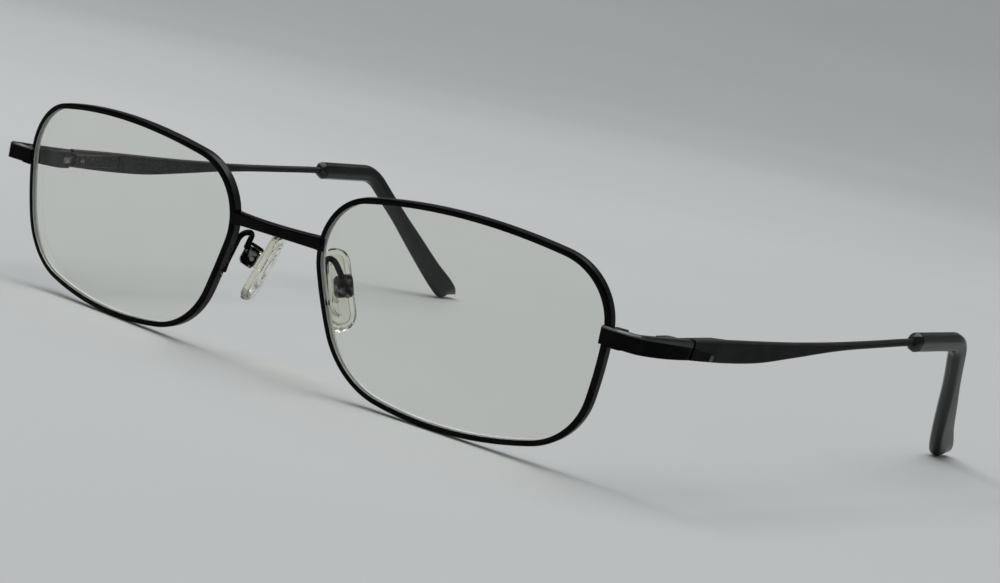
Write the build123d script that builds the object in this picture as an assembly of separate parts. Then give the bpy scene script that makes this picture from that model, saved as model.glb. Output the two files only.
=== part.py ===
from build123d import *
import math
import os

# Rectangular full-rim metal spectacles, in millimetres.
# X runs across the face towards the wearer's left, Y runs from the front back to the ears, Z is up.
# Every left piece is modelled once, and its right twin is its mirror image in the YZ plane.

# Sizes shared by the whole front, seen along the line of sight
eye_width = 53.0
eye_height = 33.3
lens_gap = 20.85
eye_centre_distance = eye_width + lens_gap
base_curve_radius = 155.0
face_form_angle = 4.8
pantoscopic_angle = 6.5

# How far back each side of an eyewire lies, from its base curve and from the wrap of the front,
# which carries the nose side forwards and the temple side back
half_eye = eye_width / 2
side_sag = half_eye ** 2 / (2 * base_curve_radius)
side_wrap = half_eye * math.sin(math.radians(face_form_angle))
nose_side_depth = side_sag - side_wrap
temple_side_depth = side_sag + side_wrap

# Opening of one eyewire: where its four sides would meet, as shares of half its width and height,
# going round from the top temporal corner over the nose side to the bottom temporal corner
corner_shares = [(0.992, 0.789), (-1.080, 0.733), (-0.740, -0.843), (0.881, -0.756)]
top_side_radius = 95.8
nose_side_radius = 94.2
bottom_side_radius = 71.0
temple_side_radius = 66.1
top_temple_corner_radius = 10.0
top_nose_corner_radius = 10.0
bottom_nose_corner_radius = 14.4
bottom_temple_corner_radius = 11.4

# Eyewire, a grooved wire bent round the lens and split behind the end piece
rim_thickness = 0.95
rim_depth = 2.0
rim_edge_bevel = 0.25
groove_depth = 0.4
groove_width = 1.35
rim_split_height = 3.95
rim_split_gap = 0.15

# Weak plus lens, thin enough at its edge to sit in the groove all round
lens_back_radius = 170.0
lens_edge_thickness = 1.05
lens_edge_clearance = 0.03
lens_face_clearance = 0.04

# Closing blocks and the screw that pulls the split eyewire shut
block_width = 2.3
block_depth = 2.3
block_upper_height = 0.95
block_lower_height = 1.8
block_edge_bevel = 0.3
closing_screw_radius = 0.45
closing_screw_head_radius = 0.8
closing_screw_head_height = 0.4
closing_screw_clearance = 0.03
screw_slot_width = 0.22
screw_slot_depth = 0.2

# Bridge between the two eyewires
bridge_height_at_rim = 2.3
bridge_height_in_middle = 1.95
bridge_depth_at_rim = 1.8
bridge_depth_in_middle = 1.6
bridge_place_height = 6.2
bridge_setback = 1.102
bridge_place_depth = nose_side_depth + bridge_setback
bridge_bow = 1.4
bridge_rise = 0.25
bridge_edge_bevel = 0.3

# Hinge axis of the left temple, and the way the temple points
hinge_outset = 3.925
hinge_setback = 12.017
hinge_x = (eye_centre_distance + eye_width) / 2 + hinge_outset
hinge_y = temple_side_depth + hinge_setback
hinge_z = 4.25
temple_splay = 1.3

# Hinge: two ears on the front, one knuckle on the spring slider, one screw
knuckle_radius = 1.15
hinge_height = 3.0
knuckle_height = 1.2
knuckle_gap = 0.06
hinge_screw_radius = 0.6
hinge_running_clearance = 0.05
hinge_thread_clearance = 0.02
hinge_screw_head_radius = 0.9
hinge_screw_head_height = 0.4
lug_length = 5.2
lug_front_thickness = 0.9
lug_relief_clearance = 0.15

# End piece, from the eyewire round the corner to the hinge
arm_thickness = 1.35
end_piece_rear = 2.9
end_piece_tail_start = 1.6
end_piece_tail_relief = 0.4
end_piece_front = 13.2
end_piece_reach_in = 4.35
end_piece_front_depth = 1.7
end_piece_corner_radius = 2.0
end_piece_top_at_front = 2.45
end_piece_top_bow = 0.05
end_piece_bottom_at_front = -0.42
end_piece_bottom_bow = 0.22
end_piece_top_at_rear = 1.5
end_piece_bottom_at_rear = -1.68
end_piece_bevel = 0.3
block_pocket_clearance = 0.1

# Polished facet that leans in under a falling line, on the end piece and the start of the blade
facet_lean_angle = 12.0
facet_top_at_front = 1.28
facet_top_at_joint = 0.34
facet_top_at_end = -0.9
facet_end = 9.3

# Temple blade, which thins into a round wire
blade_start = 3.35
blade_height = 3.7
blade_edge_bevel = 0.3
wire_diameter = 1.35
wire_rise = 0.55
temple_straight_length = 93.9
# Along the straight, as shares of its length; height over the wire's, as a share of the blade's;
# drop of the middle line below the wire's, as a share of the deepest drop
blade_drop = 1.22
blade_length_shares = [0.0, 0.113, 0.222, 0.33, 0.439, 0.537, 0.665, 0.777]
blade_height_shares = [0.84, 1.0, 0.93, 0.57, 0.23, 0.05, 0.0, 0.0]
blade_drop_shares = [0.50, 0.82, 1.0, 0.86, 0.60, 0.38, 0.17, 0.0]

# Ear bend, the flattened core of the wire, and the plastic tip over it
ear_bend_radius = 6.5
ear_drop_angle = 47.5
ear_inward_angle = 16.0
ear_leg_length = 34.8
core_height = 1.5
core_width = 0.9
core_end_margin = 6.0
tip_start = 75.5
tip_mouth_depth = 3.0
tip_mouth_height = 2.0
tip_mouth_width = 2.0
tip_flare_length = 1.2
tip_neck_height = 3.5
tip_neck_width = 3.0
tip_paddle_height = 5.6
tip_paddle_width = 2.8
tip_bevel_share = 0.28
# Down the leg, as shares of its length; height and width as shares of the paddle's;
# lean of the middle line to the back, as shares of the paddle's height
tip_place_shares = [0.36, 0.58, 0.80, 0.93, 0.98, 1.0]
tip_height_shares = [0.61, 0.76, 0.90, 1.0, 0.86, 0.5]
tip_width_shares = [1.05, 1.05, 1.0, 1.0, 0.85, 0.5]
tip_lean_shares = [0.0, -0.02, -0.03, 0.04, 0.07, 0.1]
tip_bore_clearance = 0.02

# Spring hinge box brazed inside the blade, with the slider, the spring and their stop
box_start = 2.0
box_length = 13.0
box_height = 2.3
box_tail_length = 3.0
box_edge_bevel = 0.3
cavity_width = 1.5
cavity_height = 1.5
cavity_length = 10.6
slider_neck_width = 0.9
slider_clearance = 0.05
slider_rod_width = 0.7
slider_rod_end = 10.2
slider_head_width = 1.3
slider_head_length = 0.8
slider_travel = 0.9
stop_front = 3.0
stop_length = 1.2
stop_screw_radius = 0.4
spring_outer_radius = 0.7
spring_inner_radius = 0.53

# Nose pads on their arms
pad_length = 13.9
pad_top_width = 5.0
pad_bottom_width = 6.7
pad_top_radius = 2.2
pad_bottom_radius = 3.0
pad_thickness = 1.9
pad_edge_bevel = 0.9
pad_x = 9.0
pad_y = 7.75
pad_z = -2.35
pad_splay_angle = 22.0
pad_flare_angle = 23.0
core_plate_margin = 1.2
core_plate_thickness = 0.7
stem_rise = 0.3
stem_length = 2.8
stem_height = 2.6
stem_thickness = 1.4
stem_end_bevel = 0.6
stem_clearance = 0.05
stem_tip_clearance = 0.3
pad_box_gap = 0.7
pad_box_height = 3.7
pad_box_wall = 0.5
pad_box_back = 0.5
pad_screw_radius = 0.45
pad_screw_head_radius = 0.8
pad_screw_head_height = 0.3

# Pad arm, an eight-sided wire from the back of the eyewire up, over and down to the pad box;
# the places of its root and of the two corners of its crown are inwards of the lens, back and up
pad_arm_width = 1.05
pad_arm_root_inset = 0.1
pad_arm_root_y = 2.2
pad_arm_root_z = -3.0
pad_arm_front_inset = 1.1
pad_arm_front_y = 3.3
pad_arm_back_inset = 1.5
pad_arm_back_y = 6.2
pad_arm_crown_z = 4.5
pad_arm_bend_radius = 1.4
octagon_bevel_share = 0.293

# A length that carries every cut past the surface it opens
overrun = 1.0

# Least part of an edge's direction that makes it a lengthwise edge
mostly_along_share = 0.9

# How near an outline an edge has to run to count as lying on it
on_outline_distance = 0.025

hanging = (Align.CENTER, Align.CENTER, Align.MAX)
standing = (Align.CENTER, Align.CENTER, Align.MIN)
along_temple = Rot(-90, 0, 0)


def eyewire_opening():
    """Flat outline of one eyewire's opening: four bowed sides with rounded corners."""
    corners = []
    for across, up in corner_shares:
        corners.append(Vector(across * eye_width / 2, up * eye_height / 2, 0))
    side_radii = [top_side_radius, nose_side_radius, bottom_side_radius, temple_side_radius]
    corner_radii = [
        top_temple_corner_radius,
        top_nose_corner_radius,
        bottom_nose_corner_radius,
        bottom_temple_corner_radius,
    ]
    sides = []
    for index, radius in enumerate(side_radii):
        sides.append(RadiusArc(corners[index], corners[(index + 1) % 4], -radius))
    face = make_face(sides)
    for corner, radius in zip(corners, corner_radii):
        face = fillet(face.vertices().sort_by_distance(corner)[0], radius)
    return face


def opening_prism(growth):
    """The opening, grown outwards and run straight back and forth through the front."""
    face = eyewire_opening()
    if growth:
        face = offset(face, amount=growth)
    reach = eye_height * eye_width / base_curve_radius
    return Rot(90, 0, 0) * extrude(face, amount=reach, both=True)


def base_ball(depth):
    """What lies behind the base curve, which starts a depth behind the front of the eyewire."""
    return Pos(0, base_curve_radius, 0) * Sphere(base_curve_radius - depth)


def place_eye(shape):
    """From the frame of one eye to its place in the tilted front."""
    placed = Pos(eye_centre_distance / 2, 0, 0) * Rot(0, 0, face_form_angle) * shape
    return tilt_front(placed)


def tilt_front(shape):
    return Rot(pantoscopic_angle, 0, 0) * shape


def place_hinge(shape):
    return Pos(hinge_x, hinge_y, hinge_z) * shape


def place_temple(shape):
    return place_hinge(Rot(0, 0, -temple_splay) * shape)


def rim_blank():
    """The eyewire filled in, which pieces brazed to its outside or its back are cut flush with."""
    return place_eye((opening_prism(rim_thickness) & base_ball(0)) - base_ball(rim_depth))


def closed_ring():
    """The eyewire before it is split: bevelled round its front and grooved inside."""
    ring = opening_prism(rim_thickness) - opening_prism(0)
    ring = (ring & base_ball(0)) - base_ball(rim_depth)
    outline = Rot(90, 0, 0) * offset(eyewire_opening(), amount=rim_thickness)
    outline_wire = outline.faces()[0].outer_wire()
    front_edges = []
    for edge in ring.faces().sort_by(Axis.Y)[0].edges():
        middle = edge @ 0.5
        if outline_wire.distance_to(Vector(middle.X, 0, middle.Z)) < on_outline_distance:
            front_edges.append(edge)
    ring = chamfer(front_edges, rim_edge_bevel)
    groove_front = (rim_depth - groove_width) / 2
    groove = opening_prism(groove_depth) & base_ball(groove_front)
    groove = groove - base_ball(groove_front + groove_width)
    return ring - groove


def split_place():
    """The point at the middle of the split, on the outside of the eyewire, in the eye's frame."""
    outline = offset(eyewire_opening(), amount=rim_thickness).faces()[0].outer_wire()
    far_point = Vector(eye_width, rim_split_height, 0)
    on_rim = outline.distance_to_with_closest_points(far_point)[1]
    across = on_rim.X
    up = on_rim.Y
    sag = (across * across + up * up) / (2 * base_curve_radius)
    return Vector(across, sag + rim_depth / 2, up)


def eyewire():
    saw_cut = Box(2 * block_width + 2 * rim_thickness, 4 * rim_depth, rim_split_gap)
    return place_eye(closed_ring() - Pos(split_place()) * saw_cut)


def lens():
    """Meniscus between two balls, with its whole edge in the eyewire's groove."""
    face_depth = (rim_depth - groove_width) / 2 + lens_face_clearance
    half_diagonal = math.hypot(eye_width, eye_height) / 2
    front_sag = half_diagonal ** 2 / (2 * base_curve_radius)
    back_sag = half_diagonal ** 2 / (2 * lens_back_radius)
    centre_thickness = lens_edge_thickness + front_sag - back_sag
    back_centre = face_depth + centre_thickness + lens_back_radius
    blank = opening_prism(groove_depth - lens_edge_clearance) & base_ball(face_depth)
    return place_eye(blank - Pos(0, back_centre, 0) * Sphere(lens_back_radius))


def closing_block(height):
    """One closing block, standing on the split with its outer upright edges bevelled."""
    block = Box(block_width, block_depth, height, align=(Align.MIN, Align.CENTER, Align.MIN))
    outer_edges = block.edges().filter_by(Axis.Z).group_by(Axis.X)[-1]
    return chamfer(outer_edges, block_edge_bevel)


def place_block(shape):
    """From the split, with X pointing outwards from the eyewire's outer side."""
    return place_eye(Pos(split_place()) * shape)


def closing_block_upper(blank):
    """Threaded block above the split, drilled from below and closed on top."""
    block = Pos(0, 0, rim_split_gap / 2) * closing_block(block_upper_height)
    hole_radius = closing_screw_radius + closing_screw_clearance
    hole = Cylinder(hole_radius, 2 * block_upper_height - closing_screw_radius)
    return place_block(block - Pos(block_width / 2, 0, 0) * hole) - blank


def closing_block_lower(blank):
    """Block below the split, drilled through and countersunk for the screw head."""
    block = Rot(180, 0, 0) * closing_block(block_lower_height)
    hole = countersunk_hole(
        closing_screw_radius, closing_screw_head_radius, closing_screw_head_height,
        block_lower_height + overrun, closing_screw_clearance,
    )
    hole = Pos(block_width / 2, 0, -block_lower_height) * Rot(180, 0, 0) * hole
    return place_block(Pos(0, 0, -rim_split_gap / 2) * (block - hole)) - blank


def countersunk_screw(shank_radius, head_radius, head_height, length):
    """A screw along Z: the head's flat face is at zero and the shank hangs down."""
    head = Cone(shank_radius, head_radius, head_height, align=hanging)
    shank = Cylinder(shank_radius, length, align=hanging)
    slot = Box(3 * head_radius, screw_slot_width, 2 * screw_slot_depth)
    return head + shank - slot


def countersunk_hole(shank_radius, head_radius, head_height, length, clearance):
    """What has to be cut away for a countersunk screw that sits flush."""
    head = Cone(shank_radius + clearance, head_radius + clearance, head_height, align=hanging)
    return head + Cylinder(shank_radius + clearance, length, align=hanging)


def closing_screw():
    length = block_lower_height + rim_split_gap + block_upper_height - closing_screw_radius
    screw = countersunk_screw(
        closing_screw_radius, closing_screw_head_radius, closing_screw_head_height, length
    )
    bottom = -rim_split_gap / 2 - block_lower_height
    return place_block(Pos(block_width / 2, 0, bottom) * Rot(180, 0, 0) * screw)


def bridge(left_blank):
    """A bar bowed forwards and up, and swelling towards the eyewires that it is brazed to."""
    half_span = (eye_centre_distance - eye_width) / 2 - rim_thickness / 2
    seen_from_front = bowed_bar(
        half_span, bridge_height_at_rim, bridge_height_in_middle, bridge_rise
    )
    seen_from_above = bowed_bar(
        half_span, bridge_depth_at_rim, bridge_depth_in_middle, bridge_bow
    )
    upright = extrude(Rot(90, 0, 0) * seen_from_front, amount=2 * bridge_depth_at_rim, both=True)
    level = extrude(Rot(180, 0, 0) * seen_from_above, amount=2 * bridge_height_at_rim, both=True)
    bar = upright & level
    long_edges = bar.edges().filter_by(lambda edge: abs((edge % 0.5).X) > mostly_along_share)
    bar = chamfer(long_edges, bridge_edge_bevel)
    bar = tilt_front(Pos(0, bridge_place_depth, bridge_place_height) * bar)
    return bar - left_blank - right_hand(left_blank)


def bowed_bar(half_span, end_width, middle_width, bow):
    """Flat shape between two arcs over the same span, narrower in the middle."""
    ends_up = end_width / 2
    middle_up = middle_width / 2
    with BuildSketch() as sketch:
        with BuildLine():
            ThreePointArc((-half_span, ends_up), (0, bow + middle_up), (half_span, ends_up))
            Line((half_span, ends_up), (half_span, -ends_up))
            ThreePointArc((half_span, -ends_up), (0, bow - middle_up), (-half_span, -ends_up))
            Line((-half_span, -ends_up), (-half_span, ends_up))
        make_face()
    return sketch.sketch


def end_piece_plan():
    """Seen from above: along the front of the eyewire, round the corner and back past the hinge,
    thinner at its tail, where the spring box swings by when the temple is pressed outwards."""
    outer = knuckle_radius + arm_thickness
    inner = knuckle_radius
    tail_inner = inner + end_piece_tail_relief
    front_back = -end_piece_front + end_piece_front_depth
    with BuildSketch() as sketch:
        with BuildLine():
            Polyline(
                (-end_piece_reach_in, -end_piece_front),
                (outer, -end_piece_front),
                (outer, end_piece_rear),
                (tail_inner, end_piece_rear),
                (tail_inner, end_piece_tail_start),
                (inner, end_piece_tail_start),
                (inner, front_back),
                (-end_piece_reach_in, front_back),
                close=True,
            )
        make_face()
        corner = sketch.vertices().sort_by_distance((outer, -end_piece_front))[0]
        fillet(corner, end_piece_corner_radius)
        inside = sketch.vertices().sort_by_distance((inner, front_back))[0]
        fillet(inside, end_piece_corner_radius / 2)
    return extrude(sketch.sketch, amount=2 * hinge_height, both=True)


def end_piece_side():
    """Seen from the side: tall at the front, and dropping in a shallow bow to the hinge."""
    front = -end_piece_front
    rear = end_piece_rear
    middle = (front + rear) / 2
    top_middle = (end_piece_top_at_front + end_piece_top_at_rear) / 2 - end_piece_top_bow
    bottom_middle = (end_piece_bottom_at_front + end_piece_bottom_at_rear) / 2 - end_piece_bottom_bow
    with BuildSketch(Plane.YZ) as sketch:
        with BuildLine():
            ThreePointArc(
                (front, end_piece_top_at_front), (middle, top_middle), (rear, end_piece_top_at_rear)
            )
            Line((rear, end_piece_top_at_rear), (rear, end_piece_bottom_at_rear))
            ThreePointArc(
                (rear, end_piece_bottom_at_rear),
                (middle, bottom_middle),
                (front, end_piece_bottom_at_front),
            )
            Line((front, end_piece_bottom_at_front), (front, end_piece_top_at_front))
        make_face()
    return extrude(sketch.sketch, amount=2 * end_piece_reach_in, both=True)


def facet_cut(front, top_at_front, rear, top_at_rear):
    """What lies outside a plane that leans in below a line on the temple's outer side."""
    lean = math.tan(math.radians(facet_lean_angle))
    outer = knuckle_radius + arm_thickness
    sections = []
    for place, top in ((front, top_at_front), (rear, top_at_rear)):
        low = -hinge_height
        section = Polygon(
            (outer + lean * overrun, top + overrun),
            (outer + overrun, top + overrun),
            (outer + overrun, low),
            (outer - lean * (top - low), low),
            align=None,
        )
        sections.append(Pos(0, place, 0) * Rot(90, 0, 0) * section)
    return loft(sections, ruled=True)


def end_piece(blank):
    """Forged piece lapped on the eyewire, with a pocket behind it for the closing blocks."""
    piece = end_piece_plan() & end_piece_side()
    outer_face = piece.faces().filter_by(GeomType.PLANE).sort_by(Axis.X)[-1]
    top_edge = outer_face.edges().sort_by(Axis.Z)[-1]
    piece = chamfer(top_edge, end_piece_bevel)
    facet = facet_cut(-end_piece_front, facet_top_at_front, blade_start, facet_top_at_joint)
    piece = place_hinge(piece - facet)
    pocket = Box(
        block_width + 2 * block_pocket_clearance,
        block_depth + 2 * block_pocket_clearance,
        2 * hinge_height,
        align=(Align.MIN, Align.CENTER, Align.CENTER),
    )
    return piece - place_block(pocket) - blank


def hinge_lug():
    """Two ears round the hinge screw on a foot that is brazed inside the end piece."""
    half = hinge_height / 2
    ears = Cylinder(knuckle_radius, hinge_height)
    with BuildSketch() as sketch:
        with BuildLine():
            Polyline(
                (-knuckle_radius, 0),
                (knuckle_radius, 0),
                (knuckle_radius, -lug_length),
                (knuckle_radius - lug_front_thickness, -lug_length),
                (-knuckle_radius, -lug_length / 2),
                close=True,
            )
        make_face()
    foot = extrude(sketch.sketch, amount=half, both=True) & end_piece_side()
    lug = ears + foot
    relief_height = knuckle_height + 2 * knuckle_gap
    relief = Cylinder(knuckle_radius + lug_relief_clearance, relief_height)
    behind = (Align.CENTER, Align.MIN, Align.CENTER)
    notch = Box(4 * knuckle_radius, 2 * knuckle_radius, relief_height, align=behind)
    inwards = (Align.MAX, Align.CENTER, Align.CENTER)
    inner_notch = Box(2 * knuckle_radius, 2 * knuckle_radius, relief_height, align=inwards)
    lug = lug - relief - notch - inner_notch
    hole = countersunk_hole(
        hinge_screw_radius, hinge_screw_head_radius, hinge_screw_head_height,
        hinge_height + overrun, hinge_thread_clearance,
    )
    return place_hinge(lug - Pos(0, 0, half) * hole)


def hinge_screw():
    screw = countersunk_screw(
        hinge_screw_radius, hinge_screw_head_radius, hinge_screw_head_height, hinge_height
    )
    return place_hinge(Pos(0, 0, hinge_height / 2) * screw)


def temple_bar(width, height, start, end):
    """A square bar along the temple, centred on the bore's axis."""
    bar = Box(width, end - start, height, align=(Align.CENTER, Align.MIN, Align.CENTER))
    return Pos(0, start, 0) * bar


def hinge_slider():
    """Knuckle, neck and rod in one, with the head that the spring pushes on."""
    knuckle = Cylinder(knuckle_radius - knuckle_gap, knuckle_height)
    neck_end = stop_front - slider_clearance - slider_travel
    neck = temple_bar(slider_neck_width, knuckle_height, 0, neck_end)
    rod = temple_bar(slider_rod_width, slider_rod_width, 0, slider_rod_end)
    head_start = slider_rod_end - slider_head_length
    head = temple_bar(slider_head_width, slider_head_width, head_start, slider_rod_end)
    bore = Cylinder(hinge_screw_radius + hinge_running_clearance, knuckle_height + 2 * overrun)
    return place_temple(knuckle + neck + rod + head - bore)


def stop_screw_middle():
    return stop_front + stop_length / 2


def spring_box():
    """Box brazed on the inner side of the blade, hollowed from the front for the slider."""
    rear = box_start + box_length
    with BuildSketch() as sketch:
        with BuildLine():
            Polyline(
                (knuckle_radius, box_start),
                (-knuckle_radius, box_start),
                (-knuckle_radius, rear - box_tail_length),
                (knuckle_radius / 2, rear),
                (knuckle_radius, rear),
                close=True,
            )
        make_face()
    box = extrude(sketch.sketch, amount=box_height / 2, both=True)
    inner_edges = box.edges().filter_by(Axis.Y).group_by(Axis.X)[0]
    box = chamfer(inner_edges, box_edge_bevel)
    cavity = temple_bar(cavity_width, cavity_height, 0, box_start + cavity_length)
    screw_hole = Rot(0, 90, 0) * Cylinder(stop_screw_radius, 2 * knuckle_radius, align=hanging)
    return place_temple(box - cavity - Pos(0, stop_screw_middle(), 0) * screw_hole)


def spring_stop():
    """Plug in the cavity that the spring pushes against and the rod slides through."""
    plug = temple_bar(cavity_width, cavity_height, stop_front, stop_front + stop_length)
    slot_width = slider_rod_width + 2 * slider_clearance
    slot = temple_bar(slot_width, slot_width, 0, 2 * stop_front + stop_length)
    return place_temple(plug - slot)


def stop_screw():
    """Headless screw in the box's inner wall, with its end against the plug."""
    length = knuckle_radius - cavity_width / 2
    screw = Cylinder(stop_screw_radius, length, align=hanging)
    screw = screw - Box(3 * stop_screw_radius, screw_slot_width, 2 * screw_slot_depth)
    return place_temple(Pos(-knuckle_radius, stop_screw_middle(), 0) * Rot(0, -90, 0) * screw)


def hinge_spring():
    """The coil spring's envelope, between the plug and the slider's head."""
    start = stop_front + stop_length
    length = slider_rod_end - slider_head_length - start
    outer = Cylinder(spring_outer_radius, length, align=standing)
    inner = Cylinder(spring_inner_radius, length, align=standing)
    return place_temple(Pos(0, start, 0) * along_temple * (outer - inner))


def blade_middle():
    """Distance from the hinge axis out to the middle of the blade and of the wire."""
    return knuckle_radius + arm_thickness / 2


def wire_start():
    return blade_start + blade_length_shares[-1] * (temple_straight_length - blade_start)


def blade():
    """Flat blade with bevelled edges that thins down to the height of the wire."""
    top_points = []
    bottom_points = []
    for along, tall, drop in zip(blade_length_shares, blade_height_shares, blade_drop_shares):
        place = blade_start + along * (temple_straight_length - blade_start)
        height = wire_diameter + tall * (blade_height - wire_diameter)
        middle = wire_rise - drop * blade_drop
        top_points.append((place, middle + height / 2))
        bottom_points.append((place, middle - height / 2))
    with BuildSketch(Plane.YZ.offset(blade_middle())) as sketch:
        with BuildLine():
            Spline(top_points)
            Line(top_points[-1], bottom_points[-1])
            Spline(bottom_points[::-1])
            Line(bottom_points[0], top_points[0])
        make_face()
    flat = extrude(sketch.sketch, amount=arm_thickness / 2, both=True)
    long_edges = flat.edges().filter_by(lambda edge: abs((edge % 0.5).Y) > mostly_along_share)
    flat = chamfer(long_edges, blade_edge_bevel)
    return flat - facet_cut(end_piece_rear, facet_top_at_joint, facet_end, facet_top_at_end)


def leg_direction():
    """Direction of the leg behind the ear: down and back, and leaning in to the head."""
    drop = math.radians(ear_drop_angle)
    inward = math.radians(ear_inward_angle)
    back = math.cos(inward) * math.cos(drop)
    down = math.cos(inward) * math.sin(drop)
    return Vector(-math.sin(inward), back, -down)


def bend_corner():
    return Vector(blade_middle(), temple_straight_length, wire_rise)


def bend_trim():
    """How much of the straight and of the leg the rounded bend takes up."""
    bend_angle = Vector(0, 1, 0).get_angle(leg_direction())
    return ear_bend_radius * math.tan(math.radians(bend_angle / 2))


def across_bend():
    """Direction at right angles to the plane of the ear bend."""
    return Vector(0, 1, 0).cross(leg_direction()).normalized()


def bend_section(place, direction, width, height):
    """A section square to the wire, with its width at right angles to the plane of the bend."""
    return Plane(origin=place, x_dir=across_bend(), z_dir=direction) * Rectangle(width, height)


def ear_path(start, leg):
    """Middle line of the wire from a place on the straight, round the bend and down the leg."""
    first = Vector(blade_middle(), start, wire_rise)
    last = bend_corner() + leg_direction() * leg
    return FilletPolyline(first, bend_corner(), last, radius=ear_bend_radius)


def flat_core(start, leg, clearance):
    """The flattened end of the wire, or with a clearance the slot in the tip that takes it."""
    path = ear_path(start, leg)
    width = core_width + 2 * clearance
    height = core_height + 2 * clearance
    return sweep(bend_section(path @ 0, path % 0, width, height), path=path)


def temple_blade():
    """Blade and wire in one piece, with the flattened core that the ear tip is pushed on."""
    core_start = tip_start + tip_mouth_depth
    wire = Cylinder(wire_diameter / 2, core_start - wire_start(), align=standing)
    wire = Pos(blade_middle(), wire_start(), wire_rise) * along_temple * wire
    core = flat_core(core_start, ear_leg_length - core_end_margin, 0)
    return place_temple(blade() + wire + core)


def bevelled(section, width, height):
    corner = tip_bevel_share * min(width, height)
    return chamfer(section.vertices(), corner)


def tip_section(place, direction, width, height):
    return bevelled(bend_section(place, direction, width, height), width, height)


def ear_tip():
    """Plastic sleeve with a bored mouth, a neck round the bend and a long flat-sided leg."""
    backwards = Vector(0, 1, 0)
    corner = bend_corner()
    leg = leg_direction()
    mouth = Vector(blade_middle(), tip_start, wire_rise)
    neck = mouth + backwards * tip_flare_length
    bend_in = corner - backwards * bend_trim()
    bend_out = corner + leg * bend_trim()
    to_back = leg.cross(across_bend()).normalized()
    neck_size = (tip_neck_width, tip_neck_height)
    straight = loft(
        [
            tip_section(mouth, backwards, tip_mouth_width, tip_mouth_height),
            tip_section(neck, backwards, *neck_size),
            tip_section(bend_in, backwards, *neck_size),
        ],
        ruled=True,
    )
    bend_arc = ear_path(tip_start, ear_leg_length).edges().filter_by(GeomType.CIRCLE)[0]
    bend = sweep(tip_section(bend_in, backwards, *neck_size), path=bend_arc)
    sections = [tip_section(bend_out, leg, *neck_size)]
    for down, tall, wide, lean in zip(
        tip_place_shares, tip_height_shares, tip_width_shares, tip_lean_shares
    ):
        place = corner + leg * down * ear_leg_length + to_back * lean * tip_paddle_height
        width = wide * tip_paddle_width
        sections.append(tip_section(place, leg, width, tall * tip_paddle_height))
    leg_body = loft(sections, ruled=True)
    bore = Cylinder(wire_diameter / 2 + tip_bore_clearance, tip_mouth_depth, align=standing)
    bore = Pos(mouth) * along_temple * bore
    slot = flat_core(tip_start, ear_leg_length - core_end_margin, tip_bore_clearance)
    return place_temple(straight + bend + leg_body - bore - slot)


def place_pad(shape):
    """Pad frame: Z runs up the pad, X points out of the pad towards the nose."""
    turn = Rot(0, 0, 180 - pad_splay_angle)
    lean = Rot(0, pad_flare_angle, 0)
    return tilt_front(Pos(pad_x, pad_y, pad_z) * turn * lean * shape)


def pad_block(growth, thickness):
    """The pad's outline, wider below than above, run out from the plane X = 0."""
    top = pad_length / 2
    half_top = pad_top_width / 2
    half_bottom = pad_bottom_width / 2
    outline = Polygon((-half_top, top), (half_top, top), (half_bottom, -top), (-half_bottom, -top))
    upper = outline.vertices().group_by(Axis.Y)[-1]
    outline = fillet(upper, pad_top_radius)
    lower = outline.vertices().group_by(Axis.Y)[0]
    outline = fillet(lower, pad_bottom_radius)
    if growth:
        outline = offset(outline, amount=growth)
    return extrude(Plane.YZ * outline, amount=thickness, dir=(1, 0, 0))


def nose_pad():
    """Soft cushion, bevelled towards the nose and moulded round the hard insert."""
    cushion = pad_block(0, pad_thickness)
    front_edges = cushion.edges().group_by(Axis.X)[-1]
    cushion = chamfer(front_edges, pad_edge_bevel)
    return place_pad(cushion - pad_block(-core_plate_margin, core_plate_thickness))


def pad_pivot():
    """Place of the pad screw's axis behind the pad's back."""
    return Pos(-stem_length + stem_height / 2, 0, stem_rise)


def pad_core():
    """Hard insert in the pad's back, with the stem that the pad screw passes through."""
    plate = pad_block(-core_plate_margin, core_plate_thickness)
    stem = Box(
        stem_length, stem_thickness, stem_height, align=(Align.MAX, Align.CENTER, Align.CENTER)
    )
    end_edges = stem.edges().filter_by(Axis.Y).group_by(Axis.X)[0]
    stem = Pos(0, 0, stem_rise) * chamfer(end_edges, stem_end_bevel)
    hole_radius = pad_screw_radius + hinge_running_clearance
    hole = Rot(90, 0, 0) * Cylinder(hole_radius, stem_thickness + 2 * overrun)
    return place_pad(plate + stem - pad_pivot() * hole)


def pad_box_depth():
    return stem_length - pad_box_gap + stem_tip_clearance + pad_box_back


def pad_box_width():
    return stem_thickness + 2 * stem_clearance + 2 * pad_box_wall


def pad_box_block():
    depth_behind = (Align.MAX, Align.CENTER, Align.CENTER)
    block = Box(pad_box_depth(), pad_box_width(), pad_box_height, align=depth_behind)
    back_edges = block.edges().filter_by(Axis.Y).group_by(Axis.X)[0]
    return Pos(-pad_box_gap, 0, stem_rise) * chamfer(back_edges, pad_box_back / 2)


def pad_box():
    """Open channel that takes the stem, with a hole for the pad screw through both cheeks."""
    slot_width = stem_thickness + 2 * stem_clearance
    slot_depth = pad_box_depth() - pad_box_back
    slot = Box(2 * slot_depth, slot_width, pad_box_height + 2 * overrun)
    hole = Rot(90, 0, 0) * Cylinder(pad_screw_radius, pad_box_width() + 2 * overrun)
    channel = pad_box_block() - Pos(-pad_box_gap, 0, stem_rise) * slot
    return place_pad(channel - pad_pivot() * hole)


def pad_screw():
    """Cheese-headed screw through both cheeks of the pad box."""
    half_width = pad_box_width() / 2
    head = Cylinder(pad_screw_head_radius, pad_screw_head_height, align=standing)
    slot = Box(3 * pad_screw_head_radius, screw_slot_width, 2 * screw_slot_depth)
    head = head - Pos(0, 0, pad_screw_head_height) * slot
    shank = Cylinder(pad_screw_radius, 2 * half_width, align=hanging)
    screw = Pos(0, -half_width, 0) * Rot(90, 0, 0) * (head + shank)
    return place_pad(pad_pivot() * screw)


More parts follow.
